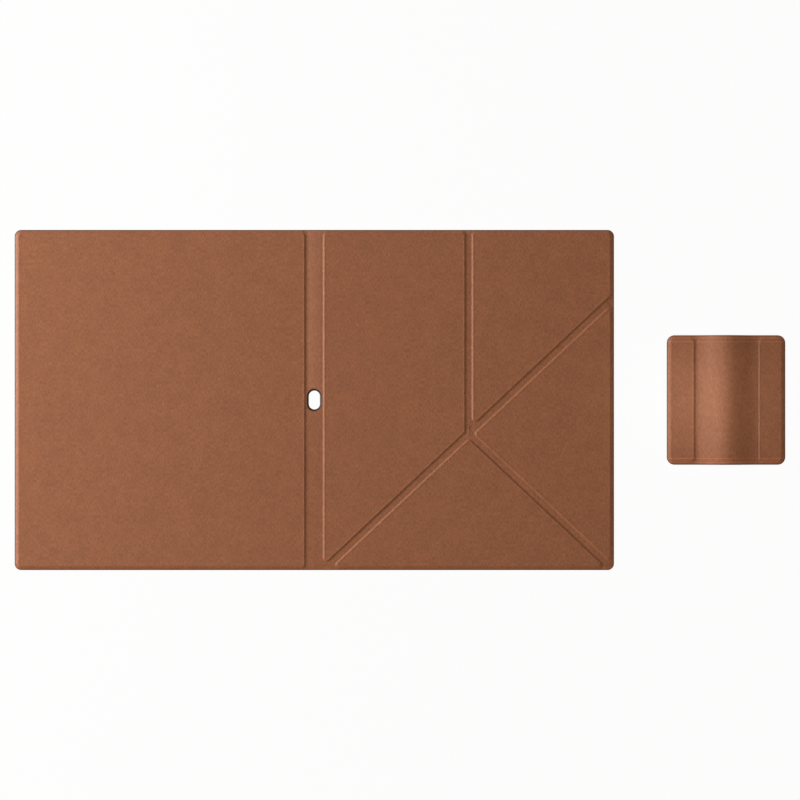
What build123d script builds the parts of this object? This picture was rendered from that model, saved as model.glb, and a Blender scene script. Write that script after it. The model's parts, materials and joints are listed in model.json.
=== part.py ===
from build123d import *

import math
import os

# Folding cover for a large reading tablet. A back panel, which holds the tablet by magnets, and a
# front cover of four hinged leaves are joined by a spine, and a separate magnetic flap closes the
# fore-edge and holds a stylus. Lengths are millimetres and angles are degrees.
#
# The cover lies open and flat with its outer face up, and the flap lies beside its fore-edge:
#   X  across the spread, from the back panel to the flap
#   Y  along the spine
#   Z  up from the surface that the lining lies on
#
# Each stiff panel is a board between a thin lining and an outer skin that wraps the board's edge.
# At the folds the boards stop, and only skin and lining run on.

# ---- Driving dimensions: the spread ----
panel_width = 247.2  # outer edge to the spine channel, for the back panel and the front cover alike
case_height = 289.5
spine_channel = 15.7  # between the middles of the two raised edges beside the spine
case_corner_radius = 5.5
vertex_rise = 116.0  # bottom edge to the point where the four creases meet

# ---- Layers ----
lining_thickness = 0.5
board_thickness = 1.4
skin_thickness = 0.7

# ---- Raised edges: where the skin climbs from a sheet's edge or a fold onto the board ----
hem_width = 0.5  # flat hem outside the skin's climb along an outer edge
outer_climb = 2.7  # width of the climb along an outer edge
fold_climb = 1.5  # width of the climb beside a crease, the spine or the arch
outer_board_setback = 1.5  # foot of an outer climb to the board's side
fold_board_setback = 1.0  # foot of a climb beside a fold to the board's side
climb_steps = 3  # flat bands that a climb's round profile is made of
crease_width = 6.0  # between the middles of the two climbs beside a crease
fold_corner_radius = 3.5  # of a climb's foot, at each corner that lies beside a fold of the spread
pivot_gap = 0.4  # between the two halves of the crease that the linkage is opened at

# ---- Spine ----
spine_strip_thickness = 0.3
spine_crown = 0.3  # how far the middle of the spine stands above its edges
fold_offset = 1.2  # foot of a panel's climb to the line that the spine folds about
strip_setback = 0.3  # fold line to the edge of the spine's stiff strip
slot_width = 9.5
slot_length = 16.0
slot_rim_width = 0.7  # where the skin is pressed down around the slot
slot_rim_depth = 0.4

# ---- Magnets: widths lie along X and lengths along Y ----
magnet_thickness = 1.2
magnet_fit = 0.1  # between a magnet and its window in the board
reader_magnet_width = 8.0
reader_magnet_length = 26.0
reader_magnet_inset = 46.0  # outer edge to the first column
reader_magnet_spacing = 155.0  # between the two columns
reader_magnet_pitch = 62.0
reader_magnet_rows = 4
dock_magnet_width = 8.0
dock_magnet_length = 20.0
dock_magnet_inset = 11.5  # outer edge to the middle of the magnets that the flap lands on
dock_magnet_pitch = 30.0
dock_magnet_rows = 3
stand_magnet_width = 22.0
stand_magnet_length = 8.0
stand_magnet_offset = 58.0  # upright crease to the nearer magnet on each side
stand_magnet_pitch = 38.0
stand_magnet_drop = 28.0  # below the top edge
wake_magnet_width = 6.0
wake_magnet_length = 12.0
wake_magnet_inset = 24.0  # from the fore-edge
wake_magnet_drop = 75.0  # below the middle of the fore-edge

# ---- Flap ----
flap_gap = 45.0  # fore-edge to flap, as the flap lies beside the cover
flap_height = 110.2
rear_tab_width = 23.5
front_tab_width = 22.5
arch_span = 54.8  # between the two tabs
flap_corner_radius = 6.5
tab_fold_corner_radius = 5.0  # of a climb's foot, at the corners of a tab beside the arch
arch_slope = 22.0
tab_bend_radius = 16.0  # underside of the bend between a tab and the arch
crest_radius = 26.0  # underside of the arch's round top

# ---- Heights of the layers ----
lining_top = lining_thickness
board_top = lining_top + board_thickness
skin_top = board_top + skin_thickness
flange_top = lining_top + skin_thickness  # where skin lies straight on lining
strip_top = lining_top + spine_strip_thickness

# ---- Places along X and Y ----
spread_width = 2 * panel_width + spine_channel
flap_width = rear_tab_width + arch_span + front_tab_width
left = -(spread_width + flap_gap + flap_width) / 2
bottom, top = -case_height / 2, case_height / 2
back_wall = left + panel_width
front_wall = back_wall + spine_channel
fore_edge = front_wall + panel_width
flap_left = fore_edge + flap_gap
flap_right = flap_left + flap_width
arch_start = flap_left + rear_tab_width + fold_climb / 2
arch_end = flap_right - front_tab_width - fold_climb / 2
arch_middle = (arch_start + arch_end) / 2

back_foot = back_wall + fold_climb / 2
front_foot = front_wall - fold_climb / 2
strip_left = back_foot + fold_offset + strip_setback
strip_right = front_foot - fold_offset - strip_setback
spine_middle = (back_wall + front_wall) / 2

vertex = Vector((front_wall + fore_edge) / 2, bottom + vertex_rise)
crease_end = vertex.Y + vertex_rise  # where the rising diagonal crease meets the fore-edge

# How far an outline is moved in from a side of its panel, for each kind of side: an outer edge, a
# crease between two leaves (whose side is the crease's middle), or a raised edge beside the spine or
# the arch (whose side is the climb's middle). The skin's climb runs from FOOT to SHOULDER.
FOOT = {"edge": hem_width, "crease": (crease_width - fold_climb) / 2, "raised": -fold_climb / 2}
SHOULDER = {
    "edge": FOOT["edge"] + outer_climb,
    "crease": FOOT["crease"] + fold_climb,
    "raised": FOOT["raised"] + fold_climb,
}
BOARD = {
    "edge": FOOT["edge"] + outer_board_setback,
    "crease": FOOT["crease"] + fold_board_setback,
    "raised": FOOT["raised"] + fold_board_setback,
}
SHEET = {"edge": 0.0, "crease": FOOT["crease"], "raised": FOOT["raised"]}

# Each panel's corners, anticlockwise, each with the kind of the side that follows it.
BACK_PANEL = [
    (Vector(left, bottom), "edge"),
    (Vector(back_wall, bottom), "raised"),
    (Vector(back_wall, top), "edge"),
    (Vector(left, top), "edge"),
]
SPINE_LEAF = [
    (Vector(front_wall, bottom), "crease"),
    (vertex, "crease"),
    (Vector(vertex.X, top), "edge"),
    (Vector(front_wall, top), "raised"),
]
TOP_LEAF = [
    (vertex, "crease"),
    (Vector(fore_edge, crease_end), "edge"),
    (Vector(fore_edge, top), "edge"),
    (Vector(vertex.X, top), "crease"),
]
FORE_LEAF = [
    (vertex, "crease"),
    (Vector(fore_edge, bottom), "edge"),
    (Vector(fore_edge, crease_end), "crease"),
]
FOOT_LEAF = [
    (Vector(front_wall, bottom), "edge"),
    (Vector(fore_edge, bottom), "crease"),
    (vertex, "crease"),
]


def crossing(point_a, direction_a, point_b, direction_b):
    """Where two lines in the XY plane cross."""
    along = (point_b - point_a).cross(direction_b).Z / direction_a.cross(direction_b).Z
    return point_a + direction_a * along


def outline(panel, insets):
    """A panel's corners after each side is moved in by the distance for its kind."""
    lines = []
    for (start, kind), (end, _) in zip(panel, panel[1:] + panel[:1]):
        direction = (end - start).normalized()
        inward = direction.rotate(Axis.Z, 90)
        lines.append((start + inward * insets[kind], direction))
    return [crossing(*lines[i - 1], *lines[i]) for i in range(len(lines))]


def plate(face, low, high):
    """A flat face as a plate between two heights."""
    return extrude(Pos(0, 0, low) * face, amount=high - low, dir=(0, 0, 1))


def polygon(corners):
    return make_face(Polyline(*corners, close=True))


def rounded(panel, insets, corner_radii):
    """A panel's outline moved in, with its corners rounded to follow the ones outside them."""
    outer_radius, fold_radius = corner_radii
    radii = []
    for (_, before), (_, after) in zip(panel[-1:] + panel[:-1], panel):
        if before == after == "edge":
            radii.append(outer_radius - insets["edge"])
        else:
            fold = before if after == "edge" else after
            radii.append(fold_radius - (insets[fold] - FOOT[fold]))
    return make_face(FilletPolyline(*outline(panel, insets), radius=radii, close=True))


def cap(panel, corner_radii):
    """The raised part of a panel's skin: its sides climb as a quarter of an ellipse."""
    sections = []
    for step in range(climb_steps + 1):
        turn = math.radians(90 * step / climb_steps)
        share = 1 - math.cos(turn)
        insets = {kind: FOOT[kind] + (SHOULDER[kind] - FOOT[kind]) * share for kind in FOOT}
        height = flange_top + (skin_top - flange_top) * math.sin(turn)
        sections.append(Pos(0, 0, height) * rounded(panel, insets, corner_radii))
    return loft(sections, ruled=True)


def box_between(x_low, x_high, y_low, y_high, z_low, z_high):
    size = (x_high - x_low, y_high - y_low, z_high - z_low)
    middle = ((x_low + x_high) / 2, (y_low + y_high) / 2, (z_low + z_high) / 2)
    return Pos(*middle) * Box(*size)


def grid(columns, middle_y, pitch, rows):
    """Magnet places: a column at each X, with its rows centred on middle_y."""
    return [
        Vector(x, middle_y + pitch * (row - (rows - 1) / 2)) for x in columns for row in range(rows)
    ]


def magnets_at(places, width, length):
    return [
        box_between(
            place.X - width / 2,
            place.X + width / 2,
            place.Y - length / 2,
            place.Y + length / 2,
            lining_top,
            lining_top + magnet_thickness,
        )
        for place in places
    ]


def windows_at(places, width, length):
    """The cut-outs in a board that a group of magnets sits in."""
    size = (width + 2 * magnet_fit, length + 2 * magnet_fit, board_thickness)
    return [Pos(place.X, place.Y, (lining_top + board_top) / 2) * Box(*size) for place in places]


def save(node, *solids):
    """Writes one named sub-part, which may be a group of separate solids."""
    shape = solids[0] if len(solids) == 1 else Compound(children=list(solids))
    export_step(shape, f"parts/{node}.step")


def stiff_panel(name, panel, trim, corner_radii, magnet_groups=()):
    """Board, wrapped skin and lining of one stiff panel, with its magnets in the board.

    trim is the plan shape that rounds the outer corners, corner_radii holds the radius of those
    corners and that of a climb's foot beside a fold, and magnet_groups holds a node name, the
    places, the width and the length of each group of magnets.
    """
    sheet = polygon(outline(panel, SHEET))
    board = plate(rounded(panel, BOARD, corner_radii), lining_top, board_top)
    flange = plate(sheet, lining_top, flange_top) & plate(trim, lining_top, flange_top)
    save(f"{name}_skin", (flange + cap(panel, corner_radii)) - board)
    save(f"{name}_lining", plate(sheet, 0, lining_top) & plate(trim, 0, lining_top))
    for node, places, width, length in magnet_groups:
        for window in windows_at(places, width, length):
            board = board - window
        save(node, *magnets_at(places, width, length))
    save(f"{name}_board", board)


def flexible_strip(name, corners, trim):
    """The skin and the lining of a fold, which lie face to face on each other."""
    face = polygon(corners)
    save(f"{name}_skin", plate(face, lining_top, flange_top) & plate(trim, lining_top, flange_top))
    save(f"{name}_lining", plate(face, 0, lining_top) & plate(trim, 0, lining_top))


def cover_panels(trim):
    """The back panel and the four leaves of the front cover."""
    first_column = left + reader_magnet_inset
    columns = [first_column, first_column + reader_magnet_spacing]
    reader = grid(columns, 0, reader_magnet_pitch, reader_magnet_rows)
    rear_dock = grid([left + dock_magnet_inset], 0, dock_magnet_pitch, dock_magnet_rows)
    fore_dock = grid([fore_edge - dock_magnet_inset], 0, dock_magnet_pitch, dock_magnet_rows)
    wake = Vector(fore_edge - wake_magnet_inset, -wake_magnet_drop)
    magnets = {
        "back": [
            ("reader_magnets", reader, reader_magnet_width, reader_magnet_length),
            ("rear_dock_magnets", rear_dock, dock_magnet_width, dock_magnet_length),
        ],
        "fore_leaf": [
            ("fore_dock_magnets", fore_dock, dock_magnet_width, dock_magnet_length),
            ("wake_magnet", [wake], wake_magnet_width, wake_magnet_length),
        ],
        "foot_leaf": [],
    }
    for name, side in (("spine_leaf", -1), ("top_leaf", 1)):
        middle = stand_magnet_offset + stand_magnet_pitch / 2
        places = [
            Vector(vertex.X + side * (middle + end * stand_magnet_pitch / 2), top - stand_magnet_drop)
            for end in (-1, 1)
        ]
        magnets[name] = [(f"{name}_magnets", places, stand_magnet_width, stand_magnet_length)]
    for name, panel in (
        ("back", BACK_PANEL),
        ("spine_leaf", SPINE_LEAF),
        ("top_leaf", TOP_LEAF),
        ("fore_leaf", FORE_LEAF),
        ("foot_leaf", FOOT_LEAF),
    ):
        stiff_panel(name, panel, trim, (case_corner_radius, fold_corner_radius), magnets[name])


def creases(trim):
    """The flexible strips between the leaves, which all meet at the vertex."""
    spine_leaf, top_leaf = outline(SPINE_LEAF, SHEET), outline(TOP_LEAF, SHEET)
    fore_leaf, foot_leaf = outline(FORE_LEAF, SHEET), outline(FOOT_LEAF, SHEET)
    flexible_strip(
        "top_crease", [vertex, spine_leaf[1], spine_leaf[2], top_leaf[3], top_leaf[0]], trim
    )
    flexible_strip(
        "fore_crease", [vertex, top_leaf[0], top_leaf[1], fore_leaf[2], fore_leaf[0]], trim
    )
    spine_corner = Vector(front_foot, bottom)
    foot_corners = [vertex, foot_leaf[2], foot_leaf[0], spine_corner, spine_leaf[0], spine_leaf[1]]
    flexible_strip("foot_crease", foot_corners, trim)

    # The fourth crease is split along its middle, so that the ring of four leaves is a tree.
    corner = Vector(fore_edge, bottom)
    along = (corner - vertex).normalized()
    across = along.rotate(Axis.Z, 90) * (pivot_gap / 2)
    for name, near, far, shift in (
        ("corner_crease_fore", fore_leaf[0], fore_leaf[1], across),
        ("corner_crease_foot", foot_leaf[2], foot_leaf[1], across * -1),
    ):
        start = crossing(vertex, near - vertex, vertex + shift, along)
        flexible_strip(name, [start, near, far, corner + shift], trim)


def spine(trim):
    """The stiff strip between the two fold lines, its crowned skin, and the folds beside it."""
    hole = SlotOverall(slot_length, slot_width, rotation=90)
    slot = Pos(spine_middle, 0, skin_top / 2) * extrude(hole, amount=skin_top, both=True)
    rim_base = flange_top + spine_crown - slot_rim_depth
    rim_edge = SlotOverall(
        slot_length + 2 * slot_rim_width, slot_width + 2 * slot_rim_width, rotation=90
    )
    rim_sections = [Pos(spine_middle, 0, rim_base) * hole]
    rim_sections.append(Pos(spine_middle, 0, rim_base + slot_rim_depth) * rim_edge)
    rim = loft(rim_sections, ruled=True)
    strip_inset = BOARD["edge"]
    strip = box_between(
        strip_left, strip_right, bottom + strip_inset, top - strip_inset, lining_top, strip_top
    )
    crowned = Polyline(
        (strip_right, 0, flange_top),
        (strip_right, 0, lining_top),
        (strip_left, 0, lining_top),
        (strip_left, 0, flange_top),
    ) + ThreePointArc(
        (strip_left, 0, flange_top),
        (spine_middle, 0, flange_top + spine_crown),
        (strip_right, 0, flange_top),
    )
    skin = extrude(make_face(crowned), amount=case_height / 2, dir=(0, 1, 0), both=True)
    lining = box_between(strip_left, strip_right, bottom, top, 0, lining_top)
    save("spine_strip", strip - slot)
    save("spine_skin", skin - strip - slot - rim)
    save("spine_lining", lining - slot)
    for name, x_low, x_high in (
        ("spine_rear_fold", back_foot, strip_left),
        ("spine_front_fold", strip_right, front_foot),
    ):
        corners = [(x_low, bottom), (x_high, bottom), (x_high, top), (x_low, top)]
        flexible_strip(name, corners, trim)


def flap_tabs():
    """The flap's two stiff tabs, each with magnets that land on those in the cover."""
    low, high = -flap_height / 2, flap_height / 2
    trim = Pos((flap_left + flap_right) / 2, 0) * RectangleRounded(
        flap_width, flap_height, flap_corner_radius
    )
    for name, x_low, x_high, dock, raised_side in (
        ("flap_rear_tab", flap_left, flap_left + rear_tab_width, flap_left + dock_magnet_inset, 1),
        ("flap_front_tab", flap_right - front_tab_width, flap_right, flap_right - dock_magnet_inset, 3),
    ):
        corners = [(x_low, low), (x_high, low), (x_high, high), (x_low, high)]
        kinds = ["raised" if index == raised_side else "edge" for index in range(len(corners))]
        panel = [(Vector(*corner), kind) for corner, kind in zip(corners, kinds)]
        places = grid([dock], 0, dock_magnet_pitch, dock_magnet_rows)
        magnets = [(f"{name}_magnets", places, dock_magnet_width, dock_magnet_length)]
        stiff_panel(name, panel, trim, (flap_corner_radius, tab_fold_corner_radius), magnets)


def station(x, z, slope):
    """A place on the arch's underside, and how steeply the underside climbs there."""
    return x, z, math.radians(slope)


def raised(place, height):
    """The point at this height above the underside, square to it."""
    x, z, slope = place
    return Vector(x - height * math.sin(slope), -flap_height / 2, z + height * math.cos(slope))


def arch_layer(places, low, high):
    """A layer of the arch between two stations, or through three on an arc."""
    below = [raised(place, low) for place in places]
    above = [raised(place, high) for place in reversed(places)]
    side = Polyline if len(places) == 2 else ThreePointArc
    edges = [side(*below), Line(below[-1], above[0]), side(*above), Line(above[-1], below[0])]
    return extrude(make_face(Curve() + edges), amount=flap_height, dir=(0, 1, 0))


def flap_arch():
    """The soft arch: a bend at each tab, two straight bridges and a round crest."""
    climb = math.radians(arch_slope)

    def bend(slope):
        angle = math.radians(slope)
        rise = tab_bend_radius * (1 - math.cos(angle))
        return station(arch_start + tab_bend_radius * math.sin(angle), rise, slope)

    foot = bend(arch_slope)
    crest_half = crest_radius * math.sin(climb)
    bridge_run = arch_middle - crest_half - foot[0]
    shoulder_z = foot[1] + bridge_run * math.tan(climb)
    shoulder = station(foot[0] + bridge_run, shoulder_z, arch_slope)
    summit = station(arch_middle, shoulder_z + crest_radius * (1 - math.cos(climb)), 0)
    far_shoulder = station(arch_middle + crest_half, shoulder_z, -arch_slope)

    middle = Plane.YZ.offset(arch_middle)
    for layer, low, high in (("lining", 0, lining_top), ("skin", lining_top, flange_top)):
        rear_bend = arch_layer([bend(0), bend(arch_slope / 2), foot], low, high)
        rear_bridge = arch_layer([foot, shoulder], low, high)
        save(f"flap_rear_bend_{layer}", rear_bend)
        save(f"flap_rear_bridge_{layer}", rear_bridge)
        save(f"flap_front_bend_{layer}", mirror(rear_bend, about=middle))
        save(f"flap_front_bridge_{layer}", mirror(rear_bridge, about=middle))
        save(f"flap_crest_{layer}", arch_layer([shoulder, summit, far_shoulder], low, high))


os.makedirs("parts", exist_ok=True)
spread = Pos((left + fore_edge) / 2, 0) * RectangleRounded(
    spread_width, case_height, case_corner_radius
)
cover_panels(spread)
creases(spread)
spine(spread)
flap_tabs()
flap_arch()
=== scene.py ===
import json
import math

import bmesh
import bpy
from bpy.props import FloatProperty, FloatVectorProperty, PointerProperty
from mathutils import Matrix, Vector

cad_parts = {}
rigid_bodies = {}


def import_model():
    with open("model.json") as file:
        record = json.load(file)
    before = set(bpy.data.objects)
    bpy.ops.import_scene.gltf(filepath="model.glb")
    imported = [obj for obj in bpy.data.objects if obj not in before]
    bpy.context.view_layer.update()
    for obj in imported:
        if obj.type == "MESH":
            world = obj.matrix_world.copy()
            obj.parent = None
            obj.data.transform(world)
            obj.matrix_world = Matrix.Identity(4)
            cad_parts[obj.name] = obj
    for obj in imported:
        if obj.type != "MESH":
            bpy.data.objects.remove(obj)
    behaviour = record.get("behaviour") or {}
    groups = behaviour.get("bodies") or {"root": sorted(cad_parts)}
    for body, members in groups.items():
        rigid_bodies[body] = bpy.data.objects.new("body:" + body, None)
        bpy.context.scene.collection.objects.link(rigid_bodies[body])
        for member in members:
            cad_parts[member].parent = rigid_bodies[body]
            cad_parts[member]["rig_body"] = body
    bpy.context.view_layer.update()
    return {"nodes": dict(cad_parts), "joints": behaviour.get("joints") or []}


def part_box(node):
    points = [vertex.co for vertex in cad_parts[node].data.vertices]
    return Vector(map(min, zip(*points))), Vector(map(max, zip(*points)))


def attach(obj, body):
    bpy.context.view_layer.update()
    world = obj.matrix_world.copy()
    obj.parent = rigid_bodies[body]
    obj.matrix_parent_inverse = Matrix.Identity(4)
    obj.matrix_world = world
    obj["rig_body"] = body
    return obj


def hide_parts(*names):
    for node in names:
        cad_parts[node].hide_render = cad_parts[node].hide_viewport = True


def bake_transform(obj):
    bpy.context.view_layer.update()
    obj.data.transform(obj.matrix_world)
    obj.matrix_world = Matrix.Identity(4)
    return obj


bl_info = {
    "name": "Folding Reader Case",
    "version": (1, 0, 0),
    "blender": (4, 5, 0),
    "location": "3D View > Sidebar > Reader Case",
    "description": "Dresses the folding reader case and its closing flap in pressed synthetic leather",
    "category": "Object",
}

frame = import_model()
MM = 0.001


# ---- Places and heights, read from the frame ----
def low(node):
    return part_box(node)[0]


def high(node):
    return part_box(node)[1]


def joint_place(name):
    return Vector(next(j for j in frame["joints"] if j["name"] == name)["pos_m"])


LINING_TOP = high("back_lining").z
FLANGE_TOP = high("top_crease_skin").z
BOARD_TOP = high("back_board").z
SKIN_TOP = high("back_skin").z

LEFT, BOTTOM = low("back_skin").x, low("back_skin").y
TOP, FORE_EDGE = high("back_skin").y, high("fore_leaf_skin").x
BACK_FOOT, FRONT_FOOT = high("back_skin").x, low("spine_leaf_skin").x
STRIP_LEFT, STRIP_RIGHT = low("spine_skin").x, high("spine_skin").x
STRIP_TOP, STRIP_END = high("spine_strip").z, high("spine_strip").y
VERTEX = joint_place("top_crease_fold").to_2d()
FRONT_WALL = 2 * VERTEX.x - FORE_EDGE
FOLD_REACH = FRONT_WALL - FRONT_FOOT  # a climb's foot stands this far outside its panel's side
CREASE_END = 2 * VERTEX.y - BOTTOM
CREASE_HALF = VERTEX.x - low("top_crease_skin").x

FLAP_LEFT, FLAP_RIGHT = low("flap_rear_tab_skin").x, high("flap_front_tab_skin").x
FLAP_BOTTOM, FLAP_TOP = low("flap_rear_tab_skin").y, high("flap_rear_tab_skin").y
ARCH_START, ARCH_END = high("flap_rear_tab_skin").x, low("flap_front_tab_skin").x
ARCH_RISE = high("flap_crest_skin").z - FLANGE_TOP

# How far each board stands inside the sheet's edge, or inside the foot of the climb at a fold.
EDGE_SETBACK = low("back_board").x - LEFT
FOLD_SETBACK = BACK_FOOT - high("back_board").x


def corners(x_low, x_high, y_low, y_high, fold_side):
    """A rectangle's corners, anticlockwise from the lower left, with one side at a fold."""
    places = [(x_low, y_low), (x_high, y_low), (x_high, y_high), (x_low, y_high)]
    return [(Vector(p), "fold" if side == fold_side else "edge") for side, p in enumerate(places)]


# Each panel's corners, anticlockwise, each with the kind of the side that follows it: an outer
# edge, a crease between two leaves (whose side is the crease's middle) or the fold beside the spine
# or the arch (whose side is the climb's middle).
PANELS = {
    "back": corners(LEFT, BACK_FOOT - FOLD_REACH, BOTTOM, TOP, 1),
    "spine_leaf": [
        (Vector((FRONT_WALL, BOTTOM)), "crease"),
        (VERTEX, "crease"),
        (Vector((VERTEX.x, TOP)), "edge"),
        (Vector((FRONT_WALL, TOP)), "fold"),
    ],
    "top_leaf": [
        (VERTEX, "crease"),
        (Vector((FORE_EDGE, CREASE_END)), "edge"),
        (Vector((FORE_EDGE, TOP)), "edge"),
        (Vector((VERTEX.x, TOP)), "crease"),
    ],
    "fore_leaf": [
        (VERTEX, "crease"),
        (Vector((FORE_EDGE, BOTTOM)), "edge"),
        (Vector((FORE_EDGE, CREASE_END)), "crease"),
    ],
    "foot_leaf": [
        (Vector((FRONT_WALL, BOTTOM)), "edge"),
        (Vector((FORE_EDGE, BOTTOM)), "crease"),
        (VERTEX, "crease"),
    ],
    "flap_rear_tab": corners(FLAP_LEFT, ARCH_START - FOLD_REACH, FLAP_BOTTOM, FLAP_TOP, 1),
    "flap_front_tab": corners(ARCH_END + FOLD_REACH, FLAP_RIGHT, FLAP_BOTTOM, FLAP_TOP, 3),
}


# ---- What a user would change ----
def length(name, description, millimetres):
    return FloatProperty(
        name=name, description=description, default=millimetres * MM, unit="LENGTH", precision=5
    )


def number(name, description, default):
    return FloatProperty(name=name, description=description, default=default)


def colour(name, description, default):
    return FloatVectorProperty(
        name=name, description=description, default=default, subtype="COLOR", size=3, min=0, max=1
    )


class CaseShape(bpy.types.PropertyGroup):
    """Sizes of the pressed skin."""

    hem_width: length("Hem", "Flat margin outside the climb along an outer edge", 0.5)
    hem_round: length("Hem round", "Rounding of the hem's upper edge", 0.15)
    outer_climb: length("Outer climb", "Width of the slope up to a board at an outer edge", 3.3)
    fold_climb: length("Fold climb", "Width of the slope up to a board beside a fold", 1.8)
    lip_height: length("Lip height", "How far a board's rim stands above its middle", 0.12)
    lip_width: length("Lip width", "Distance over which a board's rim falls to its middle", 1.2)
    case_corner: length("Case corner", "Radius of the case's outer corners", 5.5)
    flap_corner: length("Flap corner", "Radius of the flap's outer corners", 6.5)
    fold_corner: length("Fold corner", "Radius of a climb's foot at a corner beside a fold", 3.5)
    tab_corner: length("Tab corner", "Radius of a climb's foot at a corner beside the arch", 5.0)
    lap: length("Lap", "Flat margin outside the climb beside a fold", 0.25)
    fold_fill: length("Fold fill", "How far the skin of a fold stands above the hem", 0.5)
    crease_bulge: length("Crease bulge", "Rise of the skin in the middle of a crease", 0.05)
    vertex_ridge: length("Vertex ridge", "Height of the ridge where the creases meet", 0.25)
    spine_bulge: length("Spine bulge", "Height of the soft swell along the spine", 0.22)
    slot_width: length("Slot width", "Width of the cable slot", 9.5)
    slot_length: length("Slot length", "Length of the cable slot", 16.0)
    slot_rim: length("Slot rim", "Width of the pressed rim around the cable slot", 2.2)
    slot_dip: length("Slot dip", "How far the slot's edge lies below the fold's skin", 0.3)
    arch_groove: length("Arch groove", "Depth of the pressed lines along the arch's ends", 0.1)


class CaseFinish(bpy.types.PropertyGroup):
    """Colours and grain."""

    skin: colour("Skin", "Synthetic leather", (0.3795, 0.1365, 0.0592))
    skin_dark: colour("Skin, dark", "Darker flecks in the leather", (0.261, 0.0903, 0.0368))
    hem: colour("Hem", "Sealed cut edge", (0.12, 0.045, 0.024))
    # A pale colour painted over the skin along the spine: a painted highlight on the spine's swell.
    spine_highlight: colour("Spine highlight", "Pale haze on the skin along the spine", (0.9, 0.44, 0.27))
    # A paler colour painted on the pressed lines at the flap's ends: a painted highlight.
    pressed: colour("Pressed line highlight", "Lines pressed along the flap's ends", (0.66, 0.18, 0.09))
    # A darker colour on the skin round the cable slot's edge, with a ragged outer end.
    slot_edge: colour("Slot edge", "Darker rim of the cable slot", (0.055, 0.018, 0.008))
    lining: colour("Lining", "Napped microfibre", (0.072, 0.05, 0.038))
    board: colour("Board", "Pressed fibre board", (0.11, 0.1, 0.088))
    magnet: colour("Magnet", "Plated magnet", (0.56, 0.56, 0.58))
    hem_stain: length("Hem stain", "Width of the dark line along a cut edge", 0.9)
    thread_pitch: length("Thread pitch", "Spacing of the fine woven grain", 0.55)
    grain_depth: length("Grain depth", "Depth of the fine woven grain", 0.02)


class StageSettings(bpy.types.PropertyGroup):
    """Camera, lamps and floor."""

    camera_height: FloatProperty(
        name="Camera height", description="Lens above the floor", default=3.0, unit="LENGTH"
    )
    view_width: FloatProperty(
        name="View width", description="Width of floor in view", default=0.6812, unit="LENGTH"
    )
    view_x: FloatProperty(
        name="View middle", description="Middle of the view along X", default=0.0, unit="LENGTH"
    )
    key_power: number("Low key", "Power of the low lamp on the left", 17.6)
    high_key_power: number("High key", "Power of the lamp above that one", 9.2)
    fill_power: number("Fill", "Power of the lamp above", 2.35)
    flap_power: number("Flap lamp", "Power of the small lamp on the flap", 11.2)
    world_strength: number("World", "Strength of the even light from all round", 0.34)
    world_tint: colour("World tint", "Colour of the even light from all round", (1.0, 0.94, 0.82))
    floor: colour("Floor", "Plain pale floor", (0.8, 0.8, 0.8))
    floor_white: number("Floor white", "Share of plain white in the floor as seen directly", 0.95)


# ---- Outlines ----
ARC_STEPS = 8  # in a corner of a panel's outline
SIDE_STEPS = 28  # along a side of a panel
TRIM_STEPS = 12  # in a corner of the spread or the flap
HEM_STEPS = 3  # in the rounding of a hem's upper edge
LONG_SIDE = 2 * MM  # a longer stretch between two points is divided
NEAR = 0.001 * MM  # places closer than this are one


def left_of(direction):
    return Vector((-direction.y, direction.x))


def crossing(point_a, direction_a, point_b, direction_b):
    """Where two lines in the plane cross."""
    along = (point_b - point_a).cross(direction_b) / direction_a.cross(direction_b)
    return point_a + direction_a * along


def smooth(start, end, value):
    """0 below start, 1 above end, and a soft S between them."""
    share = max(0.0, min(1.0, (value - start) / (end - start)))
    return share * share * (3 - 2 * share)


def around(middle, reach):
    """The two ends of a range."""
    return middle - reach, middle + reach


def spaced(start, end, steps):
    """Places from start to end, this many even steps."""
    return [start + (end - start) * step / steps for step in range(steps + 1)]


def crowded(step, steps):
    """A share from 0 to 1 whose steps are shortest at both ends."""
    return (1 - math.cos(math.pi * step / steps)) / 2


def quarter_round(radius):
    """(distance in, distance down) from a flat top's edge, from the rounding's foot to its top."""
    angles = spaced(0, math.pi / 2, HEM_STEPS)
    return [(radius * (1 - math.cos(a)), radius * (1 - math.sin(a))) for a in angles]


def sides_of(panel, insets):
    """A point on each side and the side's direction, after it moves in by its kind's distance."""
    lines = []
    for (start, kind), (end, _) in zip(panel, panel[1:] + panel[:1]):
        direction = (end - start).normalized()
        lines.append((start + left_of(direction) * insets[kind], direction))
    return lines


def outline(panel, insets, edge_radius, fold_radius):
    """A panel's outline moved in, with one radius between outer edges and one beside a fold."""
    lines = sides_of(panel, insets)
    arcs = []
    for i, (_, kind) in enumerate(panel):
        radius = edge_radius if kind == panel[i - 1][1] == "edge" else fold_radius
        before, after = lines[i - 1][1], lines[i][1]
        turn = math.acos(before.dot(after))
        start = crossing(*lines[i - 1], *lines[i]) - before * radius * math.tan(turn / 2)
        centre = start + left_of(before) * radius
        arm = start - centre
        angles = spaced(0, turn, ARC_STEPS)
        arcs.append([centre + arm * math.cos(a) + left_of(arm) * math.sin(a) for a in angles])
    points = []
    for arc, next_arc in zip(arcs, arcs[1:] + arcs[:1]):
        points += arc
        for step in range(1, SIDE_STEPS):
            points.append(arc[-1].lerp(next_arc[0], crowded(step, SIDE_STEPS)))
    return points


HALVINGS = 60  # of a ray, in the search for the place where it leaves a plan


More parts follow.
